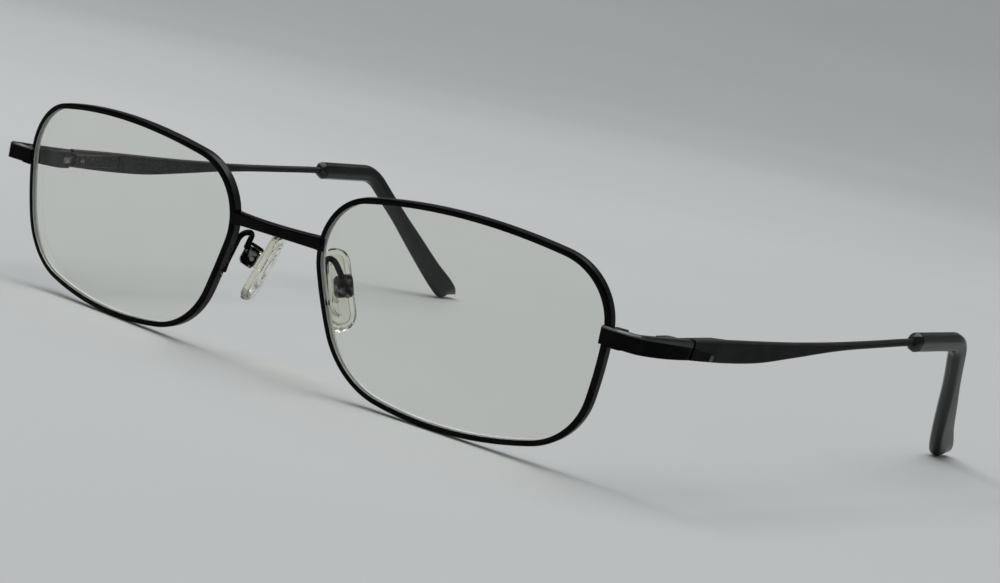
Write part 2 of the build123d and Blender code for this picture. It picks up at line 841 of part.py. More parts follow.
def pad_arm(blank):
    """Wire from the back of the eyewire, up and over its crown, and down to the pad box."""
    box_back = -pad_box_gap - pad_box_depth() + pad_box_back / 2
    seat = place_pad(Pos(box_back, 0, stem_rise + pad_box_height / 4) * Vertex(0, 0, 0))
    bends = []
    for inset, back, up in (
        (pad_arm_root_inset, pad_arm_root_y, pad_arm_root_z),
        (pad_arm_front_inset, pad_arm_front_y, pad_arm_crown_z),
        (pad_arm_back_inset, pad_arm_back_y, pad_arm_crown_z),
    ):
        bend = tilt_front(Pos(lens_gap / 2 - inset, back, up) * Vertex(0, 0, 0))
        bends.append(bend.center())
    path = FilletPolyline(*bends, seat.center(), radius=pad_arm_bend_radius)
    square = Rectangle(pad_arm_width, pad_arm_width)
    octagon = chamfer(square.vertices(), octagon_bevel_share * pad_arm_width)
    arm = sweep(Plane(origin=path @ 0, z_dir=path % 0) * octagon, path=path)
    arm = arm - place_pad(pad_box_block()) - blank
    return arm.solids().sort_by(SortBy.VOLUME)[-1]


def right_hand(shape):
    return mirror(shape, about=Plane.YZ)


def build_parts():
    """Every named piece: the bridge, the left pieces and their right twins, and the screw sets."""
    blank = rim_blank()
    left_pieces = {
        "eyewire": eyewire(),
        "lens": lens(),
        "closing_block_upper": closing_block_upper(blank),
        "closing_block_lower": closing_block_lower(blank),
        "end_piece": end_piece(blank),
        "hinge_lug": hinge_lug(),
        "hinge_slider": hinge_slider(),
        "spring_box": spring_box(),
        "spring_stop": spring_stop(),
        "stop_screw": stop_screw(),
        "hinge_spring": hinge_spring(),
        "temple_blade": temple_blade(),
        "ear_tip": ear_tip(),
        "nose_pad": nose_pad(),
        "pad_core": pad_core(),
        "pad_box": pad_box(),
        "pad_arm": pad_arm(blank),
    }
    screws = {
        "closing_screws": closing_screw(),
        "hinge_screws": hinge_screw(),
        "pad_screws": pad_screw(),
    }
    parts = {"bridge": bridge(blank)}
    for name, piece in left_pieces.items():
        parts[name + "_left"] = piece
        parts[name + "_right"] = right_hand(piece)
    for name, screw in screws.items():
        parts[name] = Compound([screw.solid(), right_hand(screw).solid()])
    return parts


def table_place(parts):
    """Turn about X that rests both eyewires and both ear tips on a table, and the move that puts
    the origin in the middle of the table under the spectacles."""
    rim_box = parts["eyewire_left"].bounding_box()
    tip_box = parts["ear_tip_left"].bounding_box()
    rise = rim_box.min.Z - tip_box.min.Z
    run = tip_box.max.Y - rim_depth
    turn = Rot(math.degrees(math.atan2(rise, run)), 0, 0)
    solids = []
    for part in parts.values():
        solids.extend((turn * part).solids())
    box = Compound(solids).bounding_box()
    return Pos(0, -(box.min.Y + box.max.Y) / 2, -box.min.Z) * turn


def main():
    os.makedirs("parts", exist_ok=True)
    parts = build_parts()
    place = table_place(parts)
    for name, part in parts.items():
        export_step(place * part, "parts/" + name + ".step")
    print("place on the table", place)


main()
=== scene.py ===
import cmath
import math

import bmesh
import bpy
from mathutils import Matrix, Vector


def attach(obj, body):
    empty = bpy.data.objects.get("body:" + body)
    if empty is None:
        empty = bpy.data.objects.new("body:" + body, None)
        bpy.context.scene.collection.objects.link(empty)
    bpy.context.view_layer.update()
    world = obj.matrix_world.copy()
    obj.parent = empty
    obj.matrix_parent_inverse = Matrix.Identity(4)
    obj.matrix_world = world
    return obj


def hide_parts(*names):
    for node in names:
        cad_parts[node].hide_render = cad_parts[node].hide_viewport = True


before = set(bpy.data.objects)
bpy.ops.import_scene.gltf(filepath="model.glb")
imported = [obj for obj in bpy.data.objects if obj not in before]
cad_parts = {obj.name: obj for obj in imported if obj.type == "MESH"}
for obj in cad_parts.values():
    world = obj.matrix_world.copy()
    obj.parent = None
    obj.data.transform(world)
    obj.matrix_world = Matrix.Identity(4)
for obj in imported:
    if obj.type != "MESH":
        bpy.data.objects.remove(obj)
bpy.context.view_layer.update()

# Sizes in millimetres and angles in degrees, as in the solids. X goes across the face, Y back to the
# ears and Z up. A share is a part of another size.
eye_width = 53.0
eye_height = 33.3
eye_centre_distance = 73.85
base_curve_radius = 155.0
face_form_angle = 4.8
pantoscopic_angle = 6.5
corner_shares = [(0.992, 0.789), (-1.080, 0.733), (-0.740, -0.843), (0.881, -0.756)]
side_radii = [95.8, 94.2, 71.0, 66.1]
corner_radii = [10.0, 10.0, 14.4, 11.4]
side_facing = 0.8  # least part across of the outward direction at a side

# Eyewires
rim_thickness = 0.95
rim_depth = 1.85
rim_front_rounding = 0.3
rim_back_rounding = 0.35
rim_lip_rounding = 0.08
rim_point_spacing = 0.45
polished_front_depth = 0.28  # behind it the wire is duller
groove_depth = 0.4
groove_width = 1.35
groove_front = (rim_depth - groove_width) / 2
rim_split_height = 3.95
rim_split_gap = 0.15

# Lenses
lens_back_radius = 170.0
lens_bevel_thickness = 1.05
lens_rear_thickness = 0.6
lens_edge_clearance = 0.03
lens_face_clearance = 0.04
lens_point_spacing = 1.2
lens_ring_shares = [0.04, 0.12, 0.24, 0.36, 0.48, 0.6, 0.7, 0.8, 0.88, 0.94, 0.982, 1.0]

# Temple blades and their polished facet
hinge_place = (67.35, 16.4998, 4.25)
temple_splay = 1.3
knuckle_radius = 1.15
arm_thickness = 1.35
blade_start = 3.35
blade_front_clearance = 0.02
blade_height = 3.7
blade_edge_rounding = 0.5
wire_diameter = 1.35
wire_rise = 0.55
temple_straight_length = 93.9
blade_drop = 1.22
blade_length_shares = [0.0, 0.113, 0.222, 0.33, 0.439, 0.537, 0.665, 0.777, 1.0]
blade_height_shares = [0.84, 1.0, 0.93, 0.57, 0.23, 0.05, 0.0, 0.0, 0.0]
blade_drop_shares = [0.50, 0.82, 1.0, 0.86, 0.60, 0.38, 0.17, 0.0, 0.0]
blade_step = 0.5
close_steps_share = 0.8  # of the straight length, from the front
wire_step = 2.0
full_blade_share = 0.35  # of the added height, under which the edges round off into a wire
least_side_length = 0.002  # between two rounded edges
# Faces whose normal points up at least this much get a painted sheen.
painted_sheen_least_up = 0.2  # least part up of the normal of a face on top
inner_face_share = 0.4  # of the thickness, inwards from the middle
facet_lean_angle = 12.0
facet_top_at_joint = 0.34
facet_top_at_end = -0.9
facet_end = 9.3
facet_edge_width = 0.8
facet_end_clear_share = 1.2  # of that width, kept free of other sections

# Polished band on the end pieces, which runs on into the facet; above it the metal is satin with a painted
# sheen in its colour
end_piece_front = 13.2
band_foot_at_front = 2.0
band_edge_width = 0.1

# Ear tips
ear_bend_radius = 6.5
ear_drop_angle = 47.5
ear_inward_angle = 16.0
ear_leg_length = 34.8
tip_start = 75.5
tip_mouth_depth = 3.0
tip_mouth_size = 2.0
tip_mouth_bevel_share = 0.5
tip_flare_length = 1.2
tip_flare_places = [0.0, 0.25, 0.6, 1.0]
tip_flare_growths = [0.0, 0.45, 0.8, 1.0]
tip_flare_margin = 0.2
tip_neck_height = 3.5
tip_neck_width = 3.0
tip_paddle_height = 5.6
tip_paddle_width = 2.8
tip_bevel_share = 0.28
tip_heel_start = 0.8
tip_heel_reach = 2.2
tip_heel_sharpness = 1.5
tip_place_shares = [0.36, 0.58, 0.80, 0.93, 0.98, 1.0]
tip_height_shares = [0.61, 0.76, 0.90, 1.0, 0.88, 0.55]
tip_width_shares = [1.05, 1.05, 1.0, 1.0, 0.85, 0.5]
tip_lean_shares = [0.0, -0.02, -0.03, 0.04, 0.08, 0.13]
tip_end_shares = [0.955, 0.965, 0.975, 0.985, 0.991, 0.996, 1.0]
tip_bend_spacing = 0.6
tip_step = 0.7
straight_tolerance = 0.02

# Bridge
bridge_height_at_rim = 2.3
bridge_height_in_middle = 1.95
bridge_depth_at_rim = 1.8
bridge_depth_in_middle = 1.6
bridge_place_height = 6.2
bridge_place_depth = 1.15
bridge_bow = 1.4
bridge_rise = 0.25
bridge_rounding = 0.42
bridge_swell = 0.22
bridge_swell_start = 0.82
bridge_steps = 40

# Nose pads
pad_length = 13.9
pad_top_width = 5.0
pad_bottom_width = 6.7
pad_top_radius = 2.45
pad_bottom_radius = 3.25
pad_corner_steps = 8
pad_side_step = 0.8
pad_thickness = 1.9
pad_rib_depth = 0.1
pad_rib_starts = [0.36, 0.72]
pad_rib_share = 0.08
pad_rib_slope_share = 0.02
pad_back_rounding = 0.3
pad_back_angles = [0, 30, 60, 90]
pad_front_rounding_depth = 1.0
pad_front_rounding_width = 1.15
pad_front_angles = [0, 18, 36, 54, 72, 88]
pad_dome_height = 0.25
pad_dome_shares = [0.8, 0.55, 0.3, 0.1]
pad_recess_middle_share = 0.1
pad_place = (9.0, 7.75, -2.35)
pad_splay_angle = 22.0
pad_flare_angle = 23.0
core_plate_margin = 1.2
core_plate_thickness = 0.7
core_clearance = 0.02

# Wire arms of the nose pads
pad_arm_width = 1.0
pad_arm_foot_height = -3.4
pad_arm_foot_inset = 0.1
pad_arm_foot_setback = 0.3
pad_arm_foot_depth_share = 0.75
pad_arm_foot_swell = 0.35
pad_arm_front = (9.45, 2.6, 3.3)
pad_arm_back = (9.15, 5.35, 3.35)
pad_arm_bend_radius = 1.5
pad_arm_bend_spacing = 0.12
pad_arm_step = 0.3
pad_arm_seat = (-3.3, 0.8, 1.3)

# Boxes that hold the stems of the pads
pad_box_front = -0.7
pad_box_rise = 0.3
pad_box_depth = 2.9
pad_box_width = 2.5
pad_box_height = 3.7
pad_box_back = 0.5
pad_slot_width = 1.5
pad_lip_depth = 0.3
pad_lip_bevel = 0.05
pad_lip_rounding_share = 1.5
pad_box_corner = 0.8
pad_box_rounding = 0.42
pad_box_end_rounding = 0.95
pad_box_end_angles = [0, 20, 42, 66, 90]

# Where the solids stand on the table
table_turn = 1.46545
table_shift = (0.0, -66.595, 17.419)
millimetre = 0.001

# Rounded and sharp edges of the solids that keep their shape
weld_distance = 0.002
rounded_edge_angle = 35
sharp_edge_angle = 40

# The middle stretch of a noise's values, its scales in features per metre, and bumps in metres
noise_low = 0.3
noise_high = 0.7
metal_cloud_scale = 260
metal_bump = 0.00002
plastic_bump = 0.00003
cast_bump = 0.0003
lengthwise = (1, 0.08, 1)  # draws a grain out from front to back

tilt_front = Matrix.Rotation(math.radians(pantoscopic_angle), 4, "X")
place_eye = (
    tilt_front
    @ Matrix.Translation((eye_centre_distance / 2, 0, 0))
    @ Matrix.Rotation(math.radians(face_form_angle), 4, "Z")
)
place_pad = (
    tilt_front
    @ Matrix.Translation(pad_place)
    @ Matrix.Rotation(math.radians(180 - pad_splay_angle), 4, "Z")
    @ Matrix.Rotation(math.radians(pad_flare_angle), 4, "Y")
)
place_temple = Matrix.Translation(hinge_place) @ Matrix.Rotation(math.radians(-temple_splay), 4, "Z")
to_table = (
    Matrix.Scale(millimetre, 4)
    @ Matrix.Translation(table_shift)
    @ Matrix.Rotation(math.radians(table_turn), 4, "X")
)


# Materials

def new_material(name):
    """A material with its node tree and its shader."""
    material = bpy.data.materials.new(name)
    material.use_nodes = True
    tree = material.node_tree
    return material, tree, tree.nodes["Principled BSDF"]


def add_noise(tree, scale, detail, stretch=(1, 1, 1)):
    """Noise on the piece's own coordinates."""
    place = tree.nodes.new("ShaderNodeTexCoord")
    mapping = tree.nodes.new("ShaderNodeMapping")
    mapping.inputs["Scale"].default_value = stretch
    noise = tree.nodes.new("ShaderNodeTexNoise")
    noise.inputs["Scale"].default_value = scale
    noise.inputs["Detail"].default_value = detail
    tree.links.new(place.outputs["Object"], mapping.inputs["Vector"])
    tree.links.new(mapping.outputs["Vector"], noise.inputs["Vector"])
    return noise.outputs["Fac"]


def between(tree, value, low, high):
    """Spreads a noise over the range from low to high."""
    spread = tree.nodes.new("ShaderNodeMapRange")
    spread.inputs["From Min"].default_value = noise_low
    spread.inputs["From Max"].default_value = noise_high
    spread.inputs["To Min"].default_value = low
    spread.inputs["To Max"].default_value = high
    tree.links.new(value, spread.inputs["Value"])
    return spread.outputs["Result"]


def two_tones(tree, value, dark, light, low=noise_low, high=noise_high):
    """The dark colour where a noise is low, and the light one where it is high."""
    ramp = tree.nodes.new("ShaderNodeValToRGB")
    ramp.color_ramp.elements[0].position = low
    ramp.color_ramp.elements[1].position = high
    ramp.color_ramp.elements[0].color = (*dark, 1)
    ramp.color_ramp.elements[1].color = (*light, 1)
    tree.links.new(value, ramp.inputs["Fac"])
    return ramp.outputs["Color"]


def add_bump(tree, shader, value, strength, distance):
    """Raises the surface where a noise is high."""
    bump = tree.nodes.new("ShaderNodeBump")
    bump.inputs["Strength"].default_value = strength
    bump.inputs["Distance"].default_value = distance
    tree.links.new(value, bump.inputs["Height"])
    tree.links.new(bump.outputs["Normal"], shader.inputs["Normal"])


def finish_surface(tree, shader, colour, roughness):
    """Joins the two outputs to the shader."""
    tree.links.new(colour, shader.inputs["Base Color"])
    tree.links.new(roughness, shader.inputs["Roughness"])


def make_metallic(shader, edge_tint=1.0):
    """An edge tint under 1 keeps dark metal from shining white at flat angles."""
    shader.inputs["Metallic"].default_value = 1.0
    shader.inputs["Specular Tint"].default_value = (edge_tint, edge_tint, edge_tint, 1)


def metal(name, dark, light, smooth, rough, grain_scale=1500, grain_strength=0.12, grain_stretch=(1, 1, 1)):
    """Metal with faint clouds in its colour and a fine grain in its gloss."""
    material, tree, shader = new_material(name)
    make_metallic(shader, edge_tint=0.6)
    cloud = add_noise(tree, metal_cloud_scale, detail=4)
    grain = add_noise(tree, grain_scale, detail=3, stretch=grain_stretch)
    finish_surface(tree, shader, two_tones(tree, cloud, dark, light), between(tree, grain, smooth, rough))
    add_bump(tree, shader, grain, grain_strength, metal_bump)
    return material


def above_line(tree, front, joint):
    """0 below a slanting line on a piece's side and 1 above it, with a narrow soft edge."""
    slope = (joint[2] - front[2]) / (joint[1] - front[1])
    normal = (to_table.to_3x3() @ Vector((0, -slope, 1))).normalized()
    line = (to_table @ Vector(front)).dot(normal)
    half_edge = band_edge_width * millimetre / 2
    place = tree.nodes.new("ShaderNodeTexCoord")
    along = tree.nodes.new("ShaderNodeVectorMath")
    along.operation = "DOT_PRODUCT"
    along.inputs[1].default_value = normal
    tree.links.new(place.outputs["Object"], along.inputs[0])
    band = tree.nodes.new("ShaderNodeMapRange")
    band.inputs["From Min"].default_value = line - half_edge
    band.inputs["From Max"].default_value = line + half_edge
    tree.links.new(along.outputs["Value"], band.inputs["Value"])
    return band.outputs["Result"]


def mix_values(tree, factor, first, second, kind):
    """Mix of two numbers (FLOAT) or two colours (RGBA), whose sockets on the node differ."""
    mix = tree.nodes.new("ShaderNodeMix")
    mix.data_type = kind
    first_socket, second_socket, result = {"FLOAT": (2, 3, 0), "RGBA": (6, 7, 2)}[kind]
    tree.links.new(factor, mix.inputs["Factor"])
    tree.links.new(first, mix.inputs[first_socket])
    tree.links.new(second, mix.inputs[second_socket])
    return mix.outputs[result]


def painted_sheen_band_metal(name, front, joint):
    """Polished metal below a line that falls from the front to the joint, and satin metal above it whose
    colour is lightened as a painted sheen.
    """
    material, tree, shader = new_material(name)
    make_metallic(shader, edge_tint=0.5)
    band = above_line(tree, front, joint)
    cloud = add_noise(tree, metal_cloud_scale, detail=4)
    grain = add_noise(tree, scale=1500, detail=3)
    below = two_tones(tree, cloud, polished_dark, polished_light)
    # Above the line the colour is the lighter painted sheen.
    above = two_tones(tree, cloud, painted_sheen_dark, painted_sheen_light)
    colour = mix_values(tree, band, below, above, "RGBA")
    polished_gloss = between(tree, grain, low=0.10, high=0.20)
    satin_gloss = between(tree, grain, low=0.26, high=0.38)
    finish_surface(tree, shader, colour, mix_values(tree, band, polished_gloss, satin_gloss, "FLOAT"))
    add_bump(tree, shader, grain, strength=0.12, distance=metal_bump)
    return material


def painted_glint_metal(name, dark, glint):
    """Shiny metal from a small mould, near black, with bumpy lumps and a few bright spots painted into its
    colour as glints.
    """
    material, tree, shader = new_material(name)
    make_metallic(shader)
    lumps = add_noise(tree, scale=800, detail=2)
    # The bright patches in the colour are painted glints.
    colour = two_tones(tree, lumps, dark, glint, low=0.50, high=0.62)
    finish_surface(tree, shader, colour, between(tree, lumps, low=0.16, high=0.08))
    add_bump(tree, shader, lumps, strength=0.8, distance=cast_bump)
    return material


def plastic(name, dark, light, smooth, rough):
    """Moulded or ground plastic with a faint grain."""
    material, tree, shader = new_material(name)
    cloud = add_noise(tree, scale=180, detail=4)
    grain = add_noise(tree, scale=2600, detail=3)
    finish_surface(tree, shader, two_tones(tree, cloud, dark, light), between(tree, cloud, smooth, rough))
    shader.inputs["IOR"].default_value = 1.46
    add_bump(tree, shader, grain, strength=0.12, distance=plastic_bump)
    return material


def clear(name, dark, light, smooth, rough, ior):
    """Lens plastic or silicone, which lets light through to the floor."""
    material, tree, shader = new_material(name)
    cloud = add_noise(tree, scale=90, detail=2)
    finish_surface(tree, shader, two_tones(tree, cloud, dark, light), between(tree, cloud, smooth, rough))
    shader.inputs["IOR"].default_value = ior
    shader.inputs["Transmission Weight"].default_value = 1.0
    light_path = tree.nodes.new("ShaderNodeLightPath")
    through = tree.nodes.new("ShaderNodeBsdfTransparent")
    mix = tree.nodes.new("ShaderNodeMixShader")
    out = tree.nodes["Material Output"]
    through.inputs["Color"].default_value = (*dark, 1)
    tree.links.new(light_path.outputs["Is Shadow Ray"], mix.inputs["Fac"])
    tree.links.new(shader.outputs["BSDF"], mix.inputs[1])
    tree.links.new(through.outputs["BSDF"], mix.inputs[2])
    tree.links.new(mix.outputs["Shader"], out.inputs["Surface"])
    return material


polished_dark = (0.0045, 0.0045, 0.0048)
polished_light = (0.009, 0.009, 0.0092)
# Painted sheen: lighter gunmetal for faces turned upwards and for the end pieces' upper band, standing in
# for light from above.
painted_sheen_dark = (0.070, 0.0702, 0.0704)
painted_sheen_light = (0.095, 0.0952, 0.0954)

polished = metal(
    "polished_gunmetal", polished_dark, polished_light,
    smooth=0.10, rough=0.20, grain_scale=900, grain_strength=0.10,
)
satin = metal(
    "satin_gunmetal", dark=(0.0175, 0.0178, 0.018), light=(0.027, 0.0273, 0.0276),
    smooth=0.28, rough=0.40, grain_scale=2500, grain_strength=0.22, grain_stretch=lengthwise,
)
steel = metal(
    "screw_steel", dark=(0.20, 0.20, 0.20), light=(0.32, 0.31, 0.30),
    smooth=0.18, rough=0.34, grain_scale=1800, grain_strength=0.2,
)
spring_steel = metal(
    "spring_steel", dark=(0.30, 0.30, 0.30), light=(0.42, 0.41, 0.40),
    smooth=0.2, rough=0.35, grain_strength=0.15,
)
side_metal = metal(
    "side_gunmetal", dark=(0.028, 0.029, 0.028), light=(0.042, 0.043, 0.042), smooth=0.24, rough=0.36,
)
# A lighter copy of the satin gunmetal for faces turned upwards: painted sheen.
painted_top_sheen_metal = metal(
    "gunmetal_painted_top_sheen", painted_sheen_dark, painted_sheen_light,
    smooth=0.28, rough=0.40, grain_scale=2500, grain_strength=0.22, grain_stretch=lengthwise,
)
# Much lighter gunmetal for the ramp at the facet's end: a painted highlight.
painted_highlight_metal = metal(
    "gunmetal_painted_highlight", dark=(0.10, 0.10, 0.10), light=(0.15, 0.15, 0.15), smooth=0.3, rough=0.4,
)
# Near-black cast metal with painted glints, for the pad boxes.
painted_glint_box = painted_glint_metal("gunmetal_cast_with_painted_glints", dark=(0.004, 0.004, 0.004), glint=(0.17, 0.165, 0.16))
tip_plastic = plastic(
    "tip_acetate", dark=(0.002, 0.002, 0.002), light=(0.004, 0.004, 0.004), smooth=0.18, rough=0.28,
)
lens_glass = clear(
    "lens_glass", dark=(0.872, 0.885, 0.85), light=(0.888, 0.90, 0.866), smooth=0.0, rough=0.01, ior=1.2,
)
ground_edge = plastic(
    "ground_lens_edge", dark=(0.60, 0.61, 0.585), light=(0.70, 0.71, 0.68), smooth=0.5, rough=0.7,
)
silicone = clear(
    "pad_silicone", dark=(0.95, 0.945, 0.87), light=(0.98, 0.975, 0.92), smooth=0.03, rough=0.10, ior=1.41,
)
insert = clear(
    "pad_insert", dark=(0.95, 0.945, 0.88), light=(0.97, 0.965, 0.92), smooth=0.02, rough=0.07, ior=1.5,
)
band_front = Vector(hinge_place) + Vector((0, -end_piece_front, band_foot_at_front))
band_joint = Vector(hinge_place) + Vector((0, blade_start, facet_top_at_joint))
# End pieces: polished below the line and a painted sheen above it.
end_piece_sheen_metal = painted_sheen_band_metal("gunmetal_with_painted_sheen_band", band_front, band_joint)


# Building pieces

def loft(loops):
    """Points and faces of a skin over loops with the same number of points, closed at its ends."""
    count = len(loops[0])
    points = [point for loop in loops for point in loop]
    faces = []
    for level in range(len(loops) - 1):
        for index in range(count):
            after = (index + 1) % count
            faces.append((
                level * count + index,
                level * count + after,
                (level + 1) * count + after,
                (level + 1) * count + index,
            ))
    last = (len(loops) - 1) * count
    faces.append(tuple(reversed(range(count))))
    faces.append(tuple(last + index for index in range(count)))
    return points, faces


def add_piece(name, side, loops, place, material, sharp_angle=sharp_edge_angle):
    """A skin over loops in millimetres; the right piece is the left one's mirror image."""
    points, faces = loft(loops)
    flip = -1 if side == "right" else 1
    corners = []
    for point in points:
        x, y, z = place @ Vector(point)
        corners.append(to_table @ Vector((flip * x, y, z)))
    mesh = bpy.data.meshes.new(name + "_" + side)
    mesh.from_pydata(corners, [], faces)
    shell = bmesh.new()
    shell.from_mesh(mesh)
    bmesh.ops.recalc_face_normals(shell, faces=shell.faces)
    shell.to_mesh(mesh)
    shell.free()
    mesh.shade_smooth()
    mesh.set_sharp_from_angle(angle=math.radians(sharp_angle))
    mesh.materials.append(material)
    piece = bpy.data.objects.new(name + "_" + side, mesh)
    bpy.context.scene.collection.objects.link(piece)
    return piece


def rounded_box(width, height, radius, steps=6, side_steps=1):
    """Outline of a rounded rectangle round the origin, anticlockwise."""
    corners = []
    for turn, (side, up) in enumerate([(1, 1), (-1, 1), (-1, -1), (1, -1)]):
        centre = Vector((side * (width / 2 - radius), up * (height / 2 - radius)))
        corner = []
        for step in range(steps + 1):
            angle = math.radians(90 * (turn + step / steps))
            corner.append(centre + Vector((math.cos(angle), math.sin(angle))) * radius)
        corners.append(corner)
    outline = []
    for index, corner in enumerate(corners):
        outline.extend(corner)
        following = corners[(index + 1) % 4][0]
        for step in range(1, side_steps):
            outline.append(corner[-1].lerp(following, step / side_steps))
    return outline


def arc_centre(start, end, radius):
    """Centre of the arc from start to end that bows to the right of the way along it."""
    half = (end - start) / 2
    left = 1j * half / abs(half)
    return start + half + left * math.sqrt(radius ** 2 - abs(half) ** 2)


def nearest_crossing(first, first_radius, second, second_radius, target):
    """Where two circles meet nearest to the target."""
    apart = abs(second - first)
    along = (apart ** 2 + first_radius ** 2 - second_radius ** 2) / (2 * apart)
    aside = math.sqrt(first_radius ** 2 - along ** 2)
    unit = (second - first) / apart
    choices = [first + unit * complex(along, sign * aside) for sign in (1, -1)]
    return min(choices, key=lambda point: abs(point - target))


def walk_arc(centre, start, end, spacing):
    """Points with their outward directions along an arc, without the last one."""
    first = start - centre
    turn = cmath.phase((end - centre) / first)
    steps = max(2, round(abs(turn) * abs(first) / spacing))
    walk = []
    for step in range(steps):
        outward = first / abs(first) * cmath.rect(1, turn * step / steps)
        walk.append((centre + outward * abs(first), outward))
    return walk


def on_circle(centre, radius, towards):
    """The point of a circle that lies towards another point."""
    way = towards - centre
    return centre + way / abs(way) * radius


def eyewire_walk(spacing):
    """Points round one opening with their outward directions, from the top temple corner on."""
    corners = [complex(across * eye_width / 2, up * eye_height / 2) for across, up in corner_shares]
    centres = []
    for index, radius in enumerate(side_radii):
        centres.append(arc_centre(corners[index], corners[(index + 1) % 4], radius))
    turns = []
    for index, radius in enumerate(corner_radii):
        turns.append(nearest_crossing(
            centres[index - 1], side_radii[index - 1] - radius,
            centres[index], side_radii[index] - radius, corners[index],
        ))
    walk = []
    for index in range(4):
        after = (index + 1) % 4
        corner_start = on_circle(centres[index - 1], side_radii[index - 1], turns[index])
        side_start = on_circle(centres[index], side_radii[index], turns[index])
        side_end = on_circle(centres[index], side_radii[index], turns[after])
        walk.extend(walk_arc(turns[index], corner_start, side_start, spacing))
        walk.extend(walk_arc(centres[index], side_start, side_end, spacing))
    return walk


def ball_depth(across, up, depth):
    """How far back the base curve lies at a place, starting a depth behind the front."""
    return base_curve_radius - math.sqrt((base_curve_radius - depth) ** 2 - across ** 2 - up ** 2)


def quarter_arc(centre_x, centre_y, radius, start, steps=4):
    """Points of a quarter turn round a centre, from the start angle on."""
    arc = []
    for step in range(steps + 1):
        angle = math.radians(start + 90 * step / steps)
        arc.append((centre_x + radius * math.cos(angle), centre_y + radius * math.sin(angle)))
    return arc


def rim_section():
    """Section of the eyewire as places outwards and backwards, with the groove on its inner side."""
    groove_back = groove_front + groove_width
    front = rim_front_rounding
    back = rim_back_rounding
    lip = rim_lip_rounding
    section = quarter_arc(rim_thickness - front, front, front, -90)
    section += quarter_arc(rim_thickness - back, rim_depth - back, back, 0)
    section += quarter_arc(lip, rim_depth - lip, lip, 90)
    section += [(0, groove_back), (groove_depth, groove_back)]
    section += [(groove_depth, groove_front), (0, groove_front)]
    section += quarter_arc(lip, lip, lip, 180)
    return section


def split_eyewire_walk():
    """The walk round the opening from the upper face of the eyewire's split to its lower one."""
    split_top = rim_split_height + rim_split_gap / 2
    split_foot = rim_split_height - rim_split_gap / 2
    walk = eyewire_walk(rim_point_spacing)
    temple_side = [index for index, (point, outward) in enumerate(walk) if outward.real > side_facing]
    split = min(temple_side, key=lambda index: abs(walk[index][0].imag - rim_split_height))
    walk = walk[split:] + walk[:split]
    while walk[0][0].imag < split_top:
        walk.pop(0)
    while walk[-1][0].imag > split_foot:
        walk.pop()
    return walk, split_top, split_foot


def build_eyewire(side):
    """The wire bent round the lens, from one face of its split to the other."""
    walk, split_top, split_foot = split_eyewire_walk()
    section = rim_section()
    loops = []
    for point, outward in walk:
        loop = []
        for out, back in section:
            place = point + outward * out
            loop.append((place.real, ball_depth(place.real, place.imag, back), place.imag))
        loops.append(loop)
    for loop, height in ((loops[0], split_top), (loops[-1], split_foot)):
        middle = sum(point[2] for point in loop) / len(loop)
        loop[:] = [(x, y, z + height - middle) for x, y, z in loop]
    piece = add_piece("bent_eyewire", side, loops, place_eye, polished)
    piece.data.materials.append(side_metal)
    depths = [back for out, back in section]
    on_side = []
    for depth, next_depth in zip(depths, depths[1:] + depths[:1]):
        on_side.append((depth + next_depth) / 2 > polished_front_depth)
    for index, face in enumerate(piece.data.polygons):
        if len(face.vertices) == 4 and on_side[index % len(section)]:
            face.material_index = piece.data.materials.find(side_metal.name)
    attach(piece, "front")
    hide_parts("eyewire_" + side)


def build_lens(side):
    """Meniscus with a bevel in the groove, whose ground edge reaches the eyewire's back."""
    face_depth = groove_front + lens_face_clearance
    bevel_depth = face_depth + lens_bevel_thickness
    half_diagonal = math.hypot(eye_width, eye_height) / 2
    front_sag = half_diagonal ** 2 / (2 * base_curve_radius)
    back_sag = half_diagonal ** 2 / (2 * lens_back_radius)
    centre_thickness = lens_bevel_thickness + lens_rear_thickness + front_sag - back_sag
    back_centre = face_depth + centre_thickness + lens_back_radius
    bevel_reach = groove_depth - lens_edge_clearance
    walk = eyewire_walk(lens_point_spacing)
    bevel = [point + outward * bevel_reach for point, outward in walk]
    opening = [point - outward * lens_edge_clearance for point, outward in walk]

    def front_ring(outline, share, depth):
        ring = []
        for point in outline:
            across = point.real * share
            up = point.imag * share
            ring.append((across, ball_depth(across, up, depth), up))
        return ring

    def back_ring(share):
        ring = []
        for point in opening:
            fall = math.sqrt(lens_back_radius ** 2 - (abs(point) * share) ** 2)
            ring.append((point.real * share, back_centre - fall, point.imag * share))
        return ring

    loops = [front_ring(bevel, share, face_depth) for share in lens_ring_shares]
    loops += [front_ring(bevel, 1.0, bevel_depth), front_ring(opening, 1.0, bevel_depth)]
    loops += [back_ring(share) for share in reversed(lens_ring_shares)]
    piece = add_piece("ground_lens", side, loops, place_eye, lens_glass)
    piece.data.materials.append(ground_edge)
    edge_start = (len(lens_ring_shares) - 1) * len(bevel)
    edge_bands = 3
    for face in piece.data.polygons[edge_start:edge_start + edge_bands * len(bevel)]:
        face.material_index = piece.data.materials.find(ground_edge.name)
    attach(piece, "front")
    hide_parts("lens_" + side)


def smooth_table(places, values, at):
    """A value read off a smooth curve through a table, flat at its ends."""
    if at <= places[0]:
        return values[0]
    if at >= places[-1]:
        return values[-1]
    index = max(i for i, place in enumerate(places) if place <= at)
    slopes = []
    for here in (index, index + 1):
        low = max(here - 1, 0)
        high = min(here + 1, len(places) - 1)
        slopes.append((values[high] - values[low]) / (places[high] - places[low]))
    span = places[index + 1] - places[index]
    t = (at - places[index]) / span
    return (
        values[index] * (1 + 2 * t) * (1 - t) ** 2 + values[index + 1] * t * t * (3 - 2 * t)
        + slopes[0] * span * t * (1 - t) ** 2 - slopes[1] * span * t * t * (1 - t)
    )


